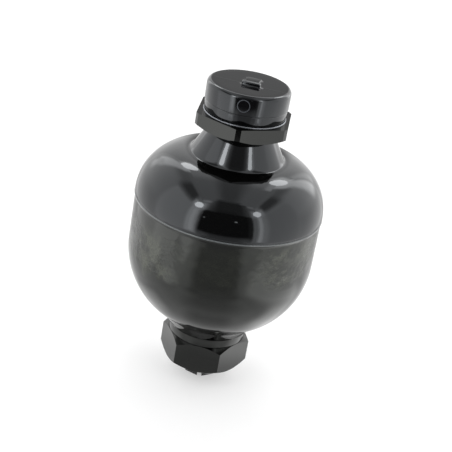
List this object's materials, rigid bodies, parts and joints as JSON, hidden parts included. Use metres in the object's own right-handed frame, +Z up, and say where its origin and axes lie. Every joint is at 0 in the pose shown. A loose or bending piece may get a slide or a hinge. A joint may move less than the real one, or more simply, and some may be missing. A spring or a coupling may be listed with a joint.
{
  "type": "bladder accumulator",
  "caption": "Upright hydraulic bladder accumulator: forged steel vessel in two screwed halves, capped gas valve on top, sprung poppet oil port with nut and plug below.",
  "frame": {"origin": "on the vessel's axis at the lower face of the port plug", "axes": "+Z up along the vessel's axis, from the oil port to the gas valve; -Y is the front"},
  "size_m": [0.118, 0.118, 0.2042],
  "materials": {
    "vessel_upper": "smooth black gloss paint",
    "vessel_lower": "black gloss paint over a rough forging",
    "nut": "black semi-gloss paint",
    "cap": "black moulded plastic, glossy",
    "plug": "black moulded plastic, satin",
    "steel": "turned steel",
    "spring_steel": "drawn spring wire",
    "brass": "turned brass",
    "rubber": "black nitrile rubber",
    "ptfe": "off-white PTFE"
  },
  "bodies": {
    "vessel": {"upper_shell": "vessel_upper", "lower_shell": "vessel_lower", "body_o_ring": "rubber", "body_backup_ring": "ptfe", "bladder": "rubber", "gas_stem": "steel", "stem_washer": "ptfe", "lock_nut": "nut", "gas_valve_body": "brass", "gas_valve_o_ring": "rubber", "valve_seal_cap": "brass", "valve_pin_spring": "spring_steel", "protective_cap": "cap", "port_body": "steel", "anti_extrusion_ring": "steel", "port_o_ring": "rubber", "port_backup_ring": "ptfe", "port_spacer": "nut", "port_nut": "nut", "poppet_spring": "spring_steel", "port_plug": "plug"},
    "poppet_valve": {"poppet": "steel", "damping_bush": "brass", "brake_nut": "steel"},
    "pin": {"valve_pin": "brass", "valve_pin_seal": "rubber"}
  },
  "joints": [
    {"name": "poppet_slide", "type": "slide", "parent": "vessel", "child": "poppet_valve", "axis": [0, 0, 1], "range_m": [-0.006, 0], "stiffness_N_per_m": 600, "springref_m": 0.01, "deforming": ["poppet_spring"]},
    {"name": "pin_slide", "type": "slide", "parent": "vessel", "child": "pin", "axis": [0, 0, 1], "range_m": [-0.0012, 0], "stiffness_N_per_m": 400, "springref_m": 0.004, "deforming": ["valve_pin_spring"]}
  ]
}
